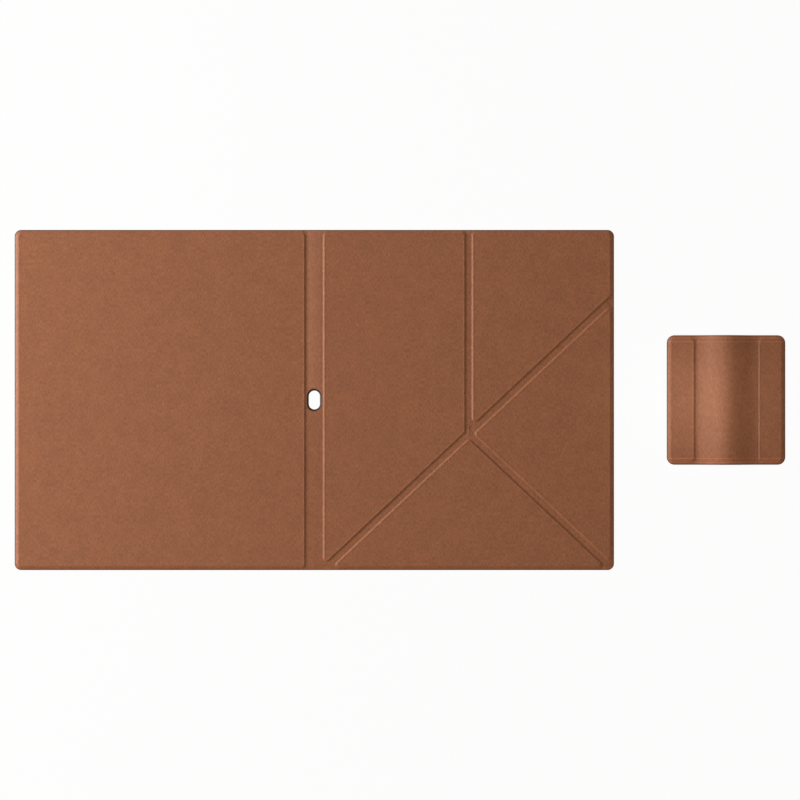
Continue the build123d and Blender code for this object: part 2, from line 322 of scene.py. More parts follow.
class Plan:
    """The rounded rectangle that the spread, the flap or the cable slot fills in plan."""

    def __init__(self, x_low, x_high, y_low, y_high, radius, fold_corner=0.0):
        self.middle = Vector(((x_low + x_high) / 2, (y_low + y_high) / 2))
        self.half = Vector(((x_high - x_low) / 2 - radius, (y_high - y_low) / 2 - radius))
        self.radius = radius
        self.fold_corner = fold_corner  # radius of a climb's foot at a corner beside a fold

    def margin(self, point):
        """Distance from the outline, positive inside it."""
        over_x = abs(point.x - self.middle.x) - self.half.x
        over_y = abs(point.y - self.middle.y) - self.half.y
        outside = math.hypot(max(over_x, 0), max(over_y, 0))
        return self.radius - outside - min(max(over_x, over_y), 0)

    def ring(self, inset):
        """The outline moved in, anticlockwise."""
        points = []
        for quarter, (side_x, side_y) in enumerate(((-1, -1), (1, -1), (1, 1), (-1, 1))):
            centre = self.middle + Vector((side_x * self.half.x, side_y * self.half.y))
            for step in range(TRIM_STEPS + 1):
                angle = math.pi * (1 + (quarter + step / TRIM_STEPS) / 2)
                arm = Vector((math.cos(angle), math.sin(angle)))
                points.append(centre + arm * (self.radius - inset))
        return points

    def way_out(self, start, direction, margin, x_limit):
        """The point where a ray comes within margin of the outline, or passes x_limit."""
        near, far = 0.0, (self.half.length + self.radius) * 2
        for _ in range(HALVINGS):
            middle = (near + far) / 2
            point = start + direction * middle
            if self.margin(point) > margin and point.x > x_limit:
                near = middle
            else:
                far = middle
        return start + direction * near


def subdivided(rings):
    """Rings of matching points with their long sides divided, closest together at the ends."""
    divided = []
    for now, after in zip(rings, rings[1:] + rings[:1]):
        divided.append(now)
        if (after[0] - now[0]).length > LONG_SIDE:
            for step in range(1, SIDE_STEPS):
                share = crowded(step, SIDE_STEPS)
                divided.append([a.lerp(b, share) for a, b in zip(now, after)])
    return divided


def cut(rings, on_line, direction):
    """Cuts rings of matching points along a line, and keeps what the first has on its left."""
    kept = []
    for now, after in zip(rings, rings[1:] + rings[:1]):
        side_now = direction.cross(now[0] - on_line)
        side_after = direction.cross(after[0] - on_line)
        if side_now >= 0:
            kept.append(now)
        if side_now * side_after < 0:
            kept.append([crossing(a, b - a, on_line, direction) for a, b in zip(now, after)])
    return kept


# ---- Meshes ----
SHARP_ANGLE = math.radians(50)


def ring_at(bm, points, height):
    return [bm.verts.new((p.x, p.y, height)) for p in points]


def bridge(bm, lower, upper):
    """A band of faces between two rings with as many points."""
    for a, b, c, d in zip(lower, lower[1:] + lower[:1], upper[1:] + upper[:1], upper):
        bm.faces.new((a, b, c, d))


def fill_between(bm, outer, inner):
    """Flat faces between two rings, one inside the other."""
    edges = []
    for ring in (outer, inner):
        for a, b in zip(ring, ring[1:] + ring[:1]):
            edges.append(bm.edges.get((a, b)) or bm.edges.new((a, b)))
    bmesh.ops.triangle_fill(bm, use_beauty=True, edges=edges)


def close_below(bm, place_below):
    """Makes a closed piece of an open surface, given the place below each of its vertices."""
    faces = list(bm.faces)
    rim = [edge for edge in bm.edges if edge.is_boundary]
    below = {vertex: bm.verts.new(place_below(vertex)) for vertex in list(bm.verts)}
    for face in faces:
        bm.faces.new([below[vertex] for vertex in reversed(face.verts)])
    for edge in rim:
        a, b = edge.verts
        bm.faces.new((a, b, below[b], below[a]))


def slab(rows, rows_below):
    """A closed piece between two grids of points."""
    bm = bmesh.new()
    made = [[bm.verts.new(point) for point in row] for row in rows]
    below = {}
    for row, points in zip(made, rows_below):
        below.update(zip(row, points))
    for row, next_row in zip(made, made[1:]):
        for a, b, c, d in zip(row, row[1:], next_row[1:], next_row):
            bm.faces.new((a, b, c, d))
    close_below(bm, below.get)
    return bm


def piece(name, bm, material, nodes):
    """An object of a finished mesh that stands for these CAD nodes. Its points keep the places
    that they have while the case lies open, for the material to read."""
    bmesh.ops.recalc_face_normals(bm, faces=bm.faces)
    mesh = bpy.data.meshes.new(name)
    bm.to_mesh(mesh)
    bm.free()
    mesh.shade_smooth()
    mesh.set_sharp_from_angle(angle=SHARP_ANGLE)
    mesh.materials.append(material)
    places = mesh.attributes.new("flat_place", "FLOAT_VECTOR", "POINT")
    for vertex, place in zip(mesh.vertices, places.data):
        place.vector = vertex.co
    made = bpy.data.objects.new(name, mesh)
    bpy.context.scene.collection.objects.link(made)
    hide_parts(*nodes)
    return made


def body_of(node):
    return frame["nodes"][node]["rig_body"]


# ---- Shader maths ----
class Field:
    """A number that varies over a surface. Arithmetic on it adds Math nodes."""

    def __init__(self, paint, socket):
        self.paint, self.socket = paint, socket

    def math(self, operation, *values):
        inputs = dict(enumerate((self, *values)))
        return self.paint.field("ShaderNodeMath", {"operation": operation}, inputs)

    def __add__(self, other):
        return self.math("ADD", other)

    def __sub__(self, other):
        return self.math("SUBTRACT", other)

    def __mul__(self, other):
        return self.math("MULTIPLY", other)

    def __rsub__(self, other):
        return self * -1 + other

    def __abs__(self):
        return self.math("ABSOLUTE")

    __radd__ = __add__
    __rmul__ = __mul__

    def larger(self, other):
        return self.math("MAXIMUM", other)

    def smaller(self, other):
        return self.math("MINIMUM", other)

    def sine(self):
        return self.math("SINE")

    def root(self):
        return self.math("SQRT")

    def between(self, start, end, new_start=0.0, new_end=1.0):
        """The number taken smoothly from one range to another."""
        settings = {"interpolation_type": "SMOOTHSTEP"}
        inputs = {0: self, 1: start, 2: end, 3: new_start, 4: new_end}
        return self.paint.field("ShaderNodeMapRange", settings, inputs)


class Paint:
    """A material being built."""

    def __init__(self, name):
        self.material = bpy.data.materials.new(name)
        self.material.use_nodes = True
        self.tree = self.material.node_tree
        self.shader = self.tree.nodes["Principled BSDF"]

    def feed(self, socket, value):
        value = value.socket if isinstance(value, Field) else value
        if isinstance(value, bpy.types.NodeSocket):
            self.tree.links.new(value, socket)
        else:
            socket.default_value = value

    def node(self, kind, settings, inputs):
        """Adds a node, with its settings first and then its sockets' values or links."""
        made = self.tree.nodes.new(kind)
        for name, value in settings.items():
            setattr(made, name, value)
        for name, value in inputs.items():
            self.feed(made.inputs[name], value)
        return made

    def field(self, kind, settings, inputs, output=0):
        return Field(self, self.node(kind, settings, inputs).outputs[output])

    def scaled(self, vector, factors):
        inputs = {0: vector, 1: factors}
        return self.node("ShaderNodeVectorMath", {"operation": "MULTIPLY"}, inputs).outputs[0]

    def place(self, flat):
        """Millimetres from the origin: as the case lies open, or of a rigid piece as it is."""
        if flat:
            attribute = self.node("ShaderNodeAttribute", {"attribute_name": "flat_place"}, {})
            return self.scaled(attribute.outputs["Vector"], (1 / MM,) * 3)
        coordinates = self.node("ShaderNodeTexCoord", {}, {})
        return self.scaled(coordinates.outputs["Object"], (1 / MM,) * 3)

    def axes(self, vector):
        split = self.node("ShaderNodeSeparateXYZ", {}, {0: vector})
        return Field(self, split.outputs[0]), Field(self, split.outputs[1])

    def noise(self, vector, size, detail=2.0, stretch=(1.0, 1.0, 1.0)):
        """Noise between 0 and 1, with features about this many millimetres across."""
        place = self.scaled(vector, [1 / (size * share) for share in stretch])
        inputs = {"Vector": place, "Scale": 1.0, "Detail": detail, "Roughness": 0.55}
        return self.field("ShaderNodeTexNoise", {}, inputs)

    def mixed(self, factor, colour_a, colour_b):
        inputs = {0: factor, 6: opaque(colour_a), 7: opaque(colour_b)}
        return self.node("ShaderNodeMix", {"data_type": "RGBA"}, inputs).outputs[2]

    def shaded(self, tone, factor):
        inputs = {0: tone, "Scale": factor}
        return self.node("ShaderNodeVectorMath", {"operation": "SCALE"}, inputs).outputs[0]

    def corner_margin(self, x, y, plan):
        """Distance in millimetres inside a plan's outline."""
        over_x = abs(x - plan.middle.x / MM) - plan.half.x / MM
        over_y = abs(y - plan.middle.y / MM) - plan.half.y / MM
        out_x, out_y = over_x.larger(0.0), over_y.larger(0.0)
        outside = (out_x * out_x + out_y * out_y).root()
        return plan.radius / MM - outside - over_x.larger(over_y).smaller(0.0)

    def finish(self, height, depth, **values):
        """Sets the shader's sockets, with a bump that is this deep where height runs from 0 to 1."""
        inputs = {"Strength": 1.0, "Distance": depth, "Height": height}
        values["Normal"] = self.node("ShaderNodeBump", {}, inputs).outputs[0]
        for name, value in values.items():
            self.feed(self.shader.inputs[name.replace("_", " ")], value)
        return self.material


def opaque(value):
    """A colour with its alpha, or a link as it is."""
    return value if isinstance(value, bpy.types.NodeSocket) else (*value[:3], 1.0)


def times(tone, factor):
    return [channel * factor for channel in tone]


MOST = 0.25, 0.75  # most of a noise's values lie in this range
CORE = 0.3, 0.7  # and a good half in this one
CLOUD_SHADE = 0.035  # how far the widest patches stray from the leather's own shade
BLOTCH_SHADE = 0.05  # the same for the patches of a few millimetres
STAIN_CORE = 0.4  # share of the stain's width beside a cut edge that is fully dark
SLOT_DARK_CORE = 0.5  # the same for the rim of the cable slot
SPINE_HIGHLIGHT_SHARE = 0.1  # how much of the painted highlight lies over the skin along the spine
LINE_HIGHLIGHT_FADE = 0.15, 0.5  # millimetres from the middle of a pressed line over which its painted highlight fades
LINE_HIGHLIGHT_SHARE = 0.5  # how strong the painted highlight's colour is
SWELL_SPAN = -25 * MM, 12 * MM  # places along Y where the spine's swell is faint and full


def in_mm(*places):
    return [place / MM for place in places]


def skin_material(shape, finish):
    """Pressed synthetic leather with a fine woven grain, dark along its cut edges."""
    paint = Paint("pressed_leather")
    place = paint.place(flat=True)
    x, y = paint.axes(place)

    wander = paint.noise(place, 6.0) * 0.5
    thread = 2 * math.pi / (finish.thread_pitch / MM)
    weave = (((x + wander) * thread).sine() * ((y + wander) * thread).sine()).between(-1.0, 1.0)
    pores = paint.noise(place, 0.35, detail=3.0, stretch=(1.0, 1.8, 1.0))
    streaks = paint.noise(place, 0.8, stretch=(1.0, 3.4, 1.0))
    cross_streaks = paint.noise(place, 0.9, stretch=(3.0, 1.0, 1.0))
    blotches = paint.noise(place, 4.5, stretch=(1.0, 1.6, 1.0))
    clouds = paint.noise(place, 18.0, detail=3.0)

    flecks = (streaks * 0.8 + cross_streaks * 0.2).between(*CORE)
    tone = paint.mixed(flecks, finish.skin_dark, finish.skin)
    cloud_shade = clouds.between(*MOST, *around(1, CLOUD_SHADE))
    blotch_shade = blotches.between(*MOST, *around(1, BLOTCH_SHADE))
    leather = paint.shaded(tone, cloud_shade * blotch_shade)

    # Along the spine a pale painted highlight lies over the skin, fullest where the spine swells.
    past_left = x.between(*in_mm(*around(STRIP_LEFT, 2 * MM)))
    past_right = x.between(*in_mm(*around(STRIP_RIGHT, 2 * MM)), 1.0, 0.0)
    spine_highlight = past_left * past_right * y.between(*in_mm(*SWELL_SPAN)) * SPINE_HIGHLIGHT_SHARE
    leather = paint.mixed(spine_highlight, leather, finish.spine_highlight)

    # Along the flap's ends a paler colour is painted over the pressed lines: a painted highlight.
    from_end = FLAP_TOP / MM - abs(y)
    lines = sum(abs(from_end - line).between(*LINE_HIGHLIGHT_FADE, LINE_HIGHLIGHT_SHARE, 0.0) for line in in_mm(*GROOVES))
    on_flap = x.between(*in_mm(FLAP_LEFT - MM, FLAP_LEFT))
    leather = paint.mixed(lines * on_flap, leather, finish.pressed)

    # Cut edges are dark, and so is the rim of the cable slot, with a ragged end.
    spread = paint.corner_margin(x, y, spread_plan(shape))
    flap = paint.corner_margin(x, y, flap_plan(shape))
    stain_width, rim = in_mm(finish.hem_stain, shape.slot_rim)
    stain = spread.larger(flap).between(stain_width * STAIN_CORE, stain_width, 1.0, 0.0)
    from_slot = paint.corner_margin(x, y, slot_plan(shape)) * -1 + (streaks - 0.5) * 0.6
    slot_darkening = from_slot.between(rim * SLOT_DARK_CORE, rim, 1.0, 0.0)
    edged = paint.mixed(slot_darkening, leather, finish.slot_edge)
    return paint.finish(
        weave * 0.5 + pores * 0.5,
        finish.grain_depth,
        Base_Color=paint.mixed(stain, edged, finish.hem),
        Roughness=(weave * 0.5 + streaks * 0.5).between(0.2, 0.8, 0.61, 0.53),
        Specular_IOR_Level=0.42,
    )


def lining_material(name, finish, flat):
    """Napped microfibre, whose short fibres lie in soft patches."""
    paint = Paint(name)
    place = paint.place(flat)
    nap = paint.noise(place, 0.5, detail=4.0)
    patches = paint.noise(place, 14.0, detail=3.0, stretch=(1.6, 1.0, 1.0))
    brushed = paint.noise(place, 2.2, stretch=(3.5, 1.0, 1.0))
    lay = patches * 0.6 + brushed * 0.4
    tone = paint.mixed(nap.between(*CORE), finish.lining, times(finish.lining, 1.35))
    return paint.finish(
        nap,
        0.12 * MM,
        Base_Color=paint.shaded(tone, lay.between(*CORE, *around(1, 0.15))),
        Roughness=nap.between(*CORE, 0.85, 0.97),
        Specular_IOR_Level=0.12,
        Sheen_Weight=0.15,
        Sheen_Tint=(0.6, 0.45, 0.36, 1.0),
    )


def board_material(finish):
    """Pressed fibre board."""
    paint = Paint("fibre_board")
    fibres = paint.noise(paint.place(flat=False), 1.4, detail=4.0, stretch=(3.0, 1.0, 1.0))
    return paint.finish(
        fibres,
        0.05 * MM,
        Base_Color=paint.mixed(fibres, finish.board, times(finish.board, 1.4)),
        Roughness=fibres.between(*CORE, 0.75, 0.9),
    )


def magnet_material(finish):
    """Bright plating with fine lapping marks."""
    paint = Paint("magnet_plating")
    marks = paint.noise(paint.place(flat=False), 0.3, stretch=(12.0, 1.0, 1.0))
    return paint.finish(
        marks,
        0.01 * MM,
        Base_Color=paint.mixed(marks, finish.magnet, times(finish.magnet, 0.85)),
        Roughness=marks.between(*CORE, 0.25, 0.4),
        Metallic=1.0,
    )


def material(name, make, *settings):
    return bpy.data.materials.get(name) or make(*settings)


def leather(scene):
    return material("pressed_leather", skin_material, scene.case_shape, scene.case_finish)


# ---- The case's surfaces ----
def spread_plan(shape):
    return Plan(LEFT, FORE_EDGE, BOTTOM, TOP, shape.case_corner, shape.fold_corner)


def flap_plan(shape):
    sides = FLAP_LEFT, FLAP_RIGHT, FLAP_BOTTOM, FLAP_TOP
    return Plan(*sides, shape.flap_corner, shape.tab_corner)


def slot_plan(shape):
    middle = (STRIP_LEFT + STRIP_RIGHT) / 2
    half, reach = shape.slot_width / 2, shape.slot_length / 2
    return Plan(middle - half, middle + half, -reach, reach, half)


CLIMB_STEPS = 12
CLIMB_FOOT, CLIMB_SHOULDER = 0.2, 0.15  # shares of a climb's width that its two bends take
OUTER_ROUND = 0.5  # how much rounder a climb is along an outer edge than beside a fold
OUTER_SUNK = 0.8  # how much of the rim's lip is missing along an outer edge
LIP_STEPS = 4
LEVEL_START = 1.5  # widths of the lip from a panel's rim to its plain level middle


def climb_rise(share):
    """A climb's height, from 0 to 1: a straight slope with a bend at its foot and its shoulder."""
    slope = 1 / (1 - (CLIMB_FOOT + CLIMB_SHOULDER) / 2)
    if share < CLIMB_FOOT:
        return slope * share**2 / (2 * CLIMB_FOOT)
    left = 1 - share
    if left < CLIMB_SHOULDER:
        return 1 - slope * left**2 / (2 * CLIMB_SHOULDER)
    return slope * (share - CLIMB_FOOT / 2)


def rounder_rise(share, outward):
    """The same beside an outer edge, where outward is 1 and the climb is rounded all the way."""
    straight = climb_rise(share)
    return straight + ((1 - (1 - share) ** 2) - straight) * OUTER_ROUND * outward


def fold_height(point, plan, shape):
    """Height of the skin beside a climb: the hem's at an outer edge, and higher along a fold."""
    filled = smooth(shape.hem_width, shape.hem_width + shape.outer_climb, plan.margin(point))
    return FLANGE_TOP + shape.fold_fill * filled


def stiff_skin(panel, plan, shape):
    """The skin of one stiff panel: a flat hem, a soft climb, a faint lip and a level top, with
    room for the board inside."""
    bm = bmesh.new()
    extra_reach = shape.fold_climb / 2 - FOLD_REACH
    foot = {
        "edge": shape.hem_width,
        "crease": CREASE_HALF - extra_reach,
        "fold": -FOLD_REACH - extra_reach,
    }
    climb = {"edge": shape.outer_climb, "crease": shape.fold_climb, "fold": shape.fold_climb}
    least_radius = shape.fold_climb / 3
    feet = []  # the height of the climb's foot at each point around the panel

    hem = quarter_round(shape.hem_round)
    sheet = list(zip(*(plan.ring(inset) for inset, _ in hem)))
    sheet_insets = {"crease": CREASE_HALF - shape.lap, "fold": -FOLD_REACH - shape.lap, "edge": 0.0}
    for (_, kind), (on_line, direction) in zip(panel, sides_of(panel, sheet_insets)):
        if kind != "edge":
            sheet = cut(sheet, on_line, direction)
    sheet = subdivided(sheet)
    rings = [ring_at(bm, [points[0] for points in sheet], LINING_TOP)]
    for (_, down), ring in zip(hem, zip(*sheet)):
        places = [(*point, fold_height(point, plan, shape) - down) for point in ring]
        rings.append([bm.verts.new(place) for place in places])

    def climb_ring(share, extra=0.0, sunk=0.0):
        """share runs from 0 at the climb's foot to 1 at its top, extra lies inside that, and sunk
        runs from 0 at the rim to 1 at the level of the panel's middle."""
        insets = {kind: foot[kind] + climb[kind] * share + extra for kind in foot}
        edge_radius = max(plan.radius - insets["edge"], least_radius)
        fold_radius = max(plan.fold_corner - climb["fold"] * share - extra, least_radius)
        points = outline(panel, insets, edge_radius, fold_radius)
        if not feet:
            feet.extend(fold_height(point, plan, shape) for point in points)
        ring = []
        for point, foot_height in zip(points, feet):
            outward = 1 - (foot_height - FLANGE_TOP) / shape.fold_fill
            top = SKIN_TOP - shape.lip_height * max(sunk, outward * OUTER_SUNK)
            height = foot_height + (top - foot_height) * rounder_rise(share, outward)
            ring.append(bm.verts.new((*point, height)))
        return ring

    climbing = [climb_ring(share) for share in spaced(0, 1, CLIMB_STEPS)]
    for share in spaced(0, 1, LIP_STEPS)[1:]:
        climbing.append(climb_ring(1, shape.lip_width * share, smooth(0, 1, share)))
    climbing.append(climb_ring(1, shape.lip_width * LEVEL_START, 1))

    for group in (rings, climbing):
        for lower, upper in zip(group, group[1:]):
            bridge(bm, lower, upper)
    fill_between(bm, rings[-1], climbing[0])
    bm.faces.new(climbing[-1])

    room_insets = {
        "edge": EDGE_SETBACK,
        "crease": CREASE_HALF + FOLD_SETBACK,
        "fold": FOLD_SETBACK - FOLD_REACH,
    }
    room_radii = plan.radius - EDGE_SETBACK, plan.fold_corner - FOLD_SETBACK
    room = outline(panel, room_insets, *room_radii)
    room_foot, room_top = ring_at(bm, room, LINING_TOP), ring_at(bm, room, BOARD_TOP)
    fill_between(bm, rings[0], room_foot)
    bridge(bm, room_foot, room_top)
    bm.faces.new(room_top)
    return bm


def add_stiff_skin(scene, name, plan):
    shape = scene.case_shape
    bm = stiff_skin(PANELS[name], plan, shape)
    made = piece(f"{name}_leather", bm, leather(scene), [f"{name}_skin"])
    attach(made, body_of(f"{name}_skin"))


# ---- Creases ----
WEB_ROWS = 36
WEB_COLUMNS = 14
WEB_CROWDING = 1.7  # above 1, a strip's rows lie closer together at the vertex
RIDGE_WIDTH = 0.9 * MM
RIDGE_RISE = -2.8 * MM, -1 * MM  # above the vertex, where the ridge starts and is at its full height
RIDGE_FALL = 3 * MM, 9 * MM  # and where it begins to fall and has gone
CREASES = {
    "corner": (Vector((FORE_EDGE, BOTTOM)) - VERTEX).normalized(),
    "fore": (Vector((FORE_EDGE, CREASE_END)) - VERTEX).normalized(),
    "top": Vector((0, 1)),
    "foot": (Vector((FRONT_WALL, BOTTOM)) - VERTEX).normalized(),
}  # anticlockwise, each with its direction away from the vertex


def web_tip(crease, next_crease, half):
    """Where the sides of two neighbouring creases meet, between the one and the next."""
    one, other = CREASES[crease], CREASES[next_crease]
    return crossing(VERTEX + left_of(one) * half, one, VERTEX - left_of(other) * half, other)


def ridge_height(point, shape):
    """The soft upright ridge that the skin throws up where the creases meet."""
    across = (point.x - VERTEX.x) / RIDGE_WIDTH
    up = point.y - VERTEX.y
    along = smooth(*RIDGE_RISE, up) * (1 - smooth(*RIDGE_FALL, up))
    return shape.vertex_ridge * math.exp(-(across**2)) * along


def web(crease, start, end, half, x_limit, shape, is_skin):
    """The upper face of a crease's strip between two shares of its half width, in rows from the
    vertex to the outer edge."""
    names = list(CREASES)
    i = names.index(crease)
    left_tip = web_tip(crease, names[(i + 1) % 4], half)
    right_tip = web_tip(names[i - 1], crease, half)
    direction = CREASES[crease]
    plan = spread_plan(shape)
    shares = spaced(start, end, round(WEB_COLUMNS * (end - start) / 2))
    if crease == "foot":
        spine_corner = Vector((x_limit, BOTTOM))
        shares.append((spine_corner - VERTEX).dot(left_of(direction)) / half)
        shares.sort()
    columns = []
    for share in shares:
        foot = VERTEX.lerp(left_tip if share > 0 else right_tip, abs(share))
        limit = x_limit if crease == "foot" else LEFT
        hem = quarter_round(shape.hem_round)
        last = plan.way_out(foot, direction, hem[-1][0], limit)
        column = []
        for along in spaced(0, 1, WEB_ROWS):
            column.append((foot.lerp(last, along**WEB_CROWDING), 0.0))
        for inset, down in reversed(hem[:-1]):
            end_point = plan.way_out(foot, direction, inset, limit)
            at_spine = crease == "foot" and end_point.x <= x_limit + 10 * NEAR
            column.append((end_point, 0.0 if at_spine else down))
        swell = shape.crease_bulge * (1 - share**2) ** 2
        points = []
        for point, down in column:
            height = LINING_TOP
            if is_skin:
                height = fold_height(point, plan, shape) + swell - down + ridge_height(point, shape)
            points.append(Vector((*point, height)))
        columns.append(points)
    return columns


def flattened(rows, height):
    return [[Vector((p.x, p.y, height)) for p in row] for row in rows]


def across_blend(made, middle, direction, half):
    """Works out the fold line's two sides, which nothing uses, and bakes the strip's placing into its
    mesh.
    """
    side = left_of(direction) * half
    (middle + side).to_3d()
    (middle - side).to_3d()
    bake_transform(made)


def add_webs(scene, layer):
    """The flexible strips of one layer between the leaves."""
    shape = scene.case_shape
    is_skin = layer == "skin"
    half = CREASE_HALF - shape.lap if is_skin else CREASE_HALF
    x_limit = FRONT_FOOT - shape.lap if is_skin else FRONT_FOOT
    paint = leather(scene) if is_skin else fold_lining(scene)
    bottom = LINING_TOP if is_skin else 0.0

    def add(node, crease, start, end):
        rows = web(crease, start, end, half, x_limit, shape, is_skin)
        bm = slab(rows, flattened(rows, bottom))
        name = node + ("_leather" if is_skin else "_microfibre")
        return piece(name, bm, paint, [f"{node}_{layer}"])

    for crease, left_body, right_body in (
        ("top", "spine_leaf", "top_leaf"),
        ("fore", "top_leaf", "fore_leaf"),
        ("foot", "foot_leaf", "spine_leaf"),
    ):
        made = add(f"{crease}_crease", crease, -1, 1)
        across_blend(made, VERTEX, CREASES[crease], half)
    for node, start, end in (("corner_crease_fore", 0, 1), ("corner_crease_foot", -1, 0)):
        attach(add(node, "corner", start, end), body_of(f"{node}_{layer}"))


def fold_lining(scene):
    return material("fold_microfibre", lining_material, "fold_microfibre", scene.case_finish, True)


# ---- Spine ----
SWELL_SKEW = 0.85  # below 1, the swell's top lies nearer to the back panel
SWELL_LEAST = 0.2  # share of the swell that is left where it is faint
SLOT_CLEAR = 1.6  # widths of the slot's rim from the slot to the full swell
SLOT_SINK = 0.7  # widths of the slot's rim over which the skin dips
FOLD_COLUMNS = 6  # faces across the fold on one side of the spine
BLOCK = 14 * MM  # half the length of the mesh that runs round the slot
BLOCK_STEPS = 56  # rows of the folds beside it
END_STEPS = 14  # rows beyond it
END_CROWDING = 1.5  # above 1, they lie closer together beside the block
BLOCK_ARC_STEPS = 10
BLOCK_SIDE_STEPS = 6
BLOCK_RINGS = 10
RING_CROWDING = 1.4  # above 1, the rings lie closer together beside the slot


def spine_height(point, shape):
    """The skin's height between the back panel and the front cover."""
    start, end = BACK_FOOT + shape.lap, FRONT_FOOT - shape.lap
    share = max(0.0, min(1.0, (point.x - start) / (end - start)))
    swell = math.sin(math.pi * share**SWELL_SKEW) ** 2
    fullness = SWELL_LEAST + (1 - SWELL_LEAST) * smooth(*SWELL_SPAN, point.y)
    from_slot = max(0.0, -slot_plan(shape).margin(point))
    clear = smooth(0, shape.slot_rim * SLOT_CLEAR, from_slot)
    sunk = 1 - smooth(0, shape.slot_rim * SLOT_SINK, from_slot)
    dip = (shape.slot_dip + shape.fold_fill) * sunk
    base = fold_height(point, spread_plan(shape), shape)
    return base + shape.spine_bulge * swell * fullness * clear - dip


def long_rows(shape):
    """(Y, distance down) along the spine: rounded at both ends and close together at the slot."""
    hem = [(TOP - inset, down) for inset, down in quarter_round(shape.hem_round)]
    places = [TOP - 1.9 * MM, STRIP_END, TOP - 4 * MM]
    length_beyond = TOP - 6 * MM - BLOCK
    for step in range(END_STEPS, -1, -1):
        places.append(BLOCK + length_beyond * (step / END_STEPS) ** END_CROWDING)
    upper = hem + [(y, 0.0) for y in places]
    beside = [(BLOCK * (1 - 2 * step / BLOCK_STEPS), 0.0) for step in range(1, BLOCK_STEPS)]
    return upper + beside + [(-y, down) for y, down in reversed(upper)]


def side_fold(x_low, x_high, shape):
    """The flexible skin on one side of the spine."""
    rows = []
    for y, down in long_rows(shape):
        row = [Vector((x, y)) for x in spaced(x_low, x_high, FOLD_COLUMNS)]
        rows.append([Vector((*point, spine_height(point, shape) - down)) for point in row])
    return slab(rows, flattened(rows, LINING_TOP))


def slot_spokes(plan):
    """Lines from around the slot's middle line to the edges of the block around the slot, each with
    its start, its direction, square to the slot's edge, and its length. Anticlockwise."""
    half_width = (STRIP_RIGHT - STRIP_LEFT) / 2
    spokes = []
    for quarter, (side_x, side_y) in enumerate(((1, 1), (-1, 1), (-1, -1), (1, -1))):
        centre = plan.middle + Vector((0, side_y * plan.half.y))
        corner_angle = math.atan2(side_y * (BLOCK - plan.half.y), side_x * half_width)
        first_angle = math.pi / 2 * quarter
        angles = spaced(first_angle, first_angle + math.pi / 2, BLOCK_ARC_STEPS)
        for angle in sorted([*angles, corner_angle % (2 * math.pi)]):
            arm = Vector((math.cos(angle), math.sin(angle)))
            to_side = half_width / max(abs(arm.x), NEAR)
            to_end = (BLOCK - plan.half.y) / max(abs(arm.y), NEAR)
            spokes.append((centre, arm, min(to_side, to_end)))
        if side_x * side_y < 0:
            for step in range(1, BLOCK_SIDE_STEPS):
                y = side_y * plan.half.y * (1 - 2 * step / BLOCK_SIDE_STEPS)
                spokes.append((Vector((plan.middle.x, y)), Vector((side_x, 0)), half_width))
    ends = [centre + arm * reach for centre, arm, reach in spokes]
    return [s for i, s in enumerate(spokes) if (ends[i] - ends[i - 1]).length > NEAR]


def spine_skin(shape):
    """The skin over the spine's stiff strip, with the cable slot through it."""
    plan = slot_plan(shape)
    spokes = slot_spokes(plan)
    bm = bmesh.new()

    def ring_along(reaches, down=0.0):
        points = [centre + arm * reach for (centre, arm, _), reach in zip(spokes, reaches)]
        return [bm.verts.new((*point, spine_height(point, shape) - down)) for point in points]

    rings = []
    for inset, down in quarter_round(shape.hem_round):
        rings.append(ring_along([plan.radius + inset] * len(spokes), down))
    near = plan.radius + shape.hem_round
    for step in range(1, BLOCK_RINGS + 1):
        share = (step / BLOCK_RINGS) ** RING_CROWDING
        rings.append(ring_along([near + (reach - near) * share for _, _, reach in spokes]))
    for inner, outer in zip(rings, rings[1:]):
        bridge(bm, inner, outer)

    for side in (1, -1):
        row = [vertex for vertex in rings[-1] if abs(vertex.co.y - side * BLOCK) < NEAR]
        row.sort(key=lambda vertex: vertex.co.x)
        beyond = [(y, down) for y, down in long_rows(shape) if y * side > BLOCK + NEAR]
        for y, down in sorted(beyond, key=lambda place: abs(place[0])):
            above = []
            for vertex in row:
                point = Vector((vertex.co.x, y))
                above.append(bm.verts.new((*point, spine_height(point, shape) - down)))
            for a, b, c, d in zip(row, row[1:], above[1:], above):
                bm.faces.new((a, b, c, d))
            row = above

    def place_below(vertex):
        over_strip = abs(vertex.co.y) <= STRIP_END + NEAR
        return vertex.co.x, vertex.co.y, STRIP_TOP if over_strip else LINING_TOP

    close_below(bm, place_below)
    return bm


def add_spine(scene):
    shape = scene.case_shape
    made = piece("spine_leather", spine_skin(shape), leather(scene), ["spine_skin"])
    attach(made, body_of("spine_skin"))
    along = Vector((0, 1))
    for node, first, second, x_low, x_high, skin_low, skin_high in (
        (
            "spine_rear_fold", "back_panel", "spine",
            BACK_FOOT, STRIP_LEFT, BACK_FOOT + shape.lap, STRIP_LEFT,
        ),
        (
            "spine_front_fold", "spine", "spine_leaf",
            STRIP_RIGHT, FRONT_FOOT, STRIP_RIGHT, FRONT_FOOT - shape.lap,
        ),
    ):
        middle = Vector(((x_low + x_high) / 2, 0))
        bm = side_fold(skin_low, skin_high, shape)
        skin = piece(f"{node}_leather", bm, leather(scene), [f"{node}_skin"])
        xs = spaced(x_low, x_high, FOLD_COLUMNS)
        rows = [[Vector((x, y, LINING_TOP)) for x in xs] for y, _ in long_rows(shape)]
        bm = slab(rows, flattened(rows, 0.0))
        lining = piece(f"{node}_microfibre", bm, fold_lining(scene), [f"{node}_lining"])
        for made in (skin, lining):
            across_blend(made, middle, along, (x_high - x_low) / 2)


# ---- The flap's arch ----
ARCH_STEPS = 72
ARCH_SPLIT = 0.22  # share of the arch's run between a tab and the join with the crest
GROOVES = (2.3 * MM, 5.5 * MM)  # from the arch's ends to its pressed lines
GROOVE_HALF = 0.3 * MM


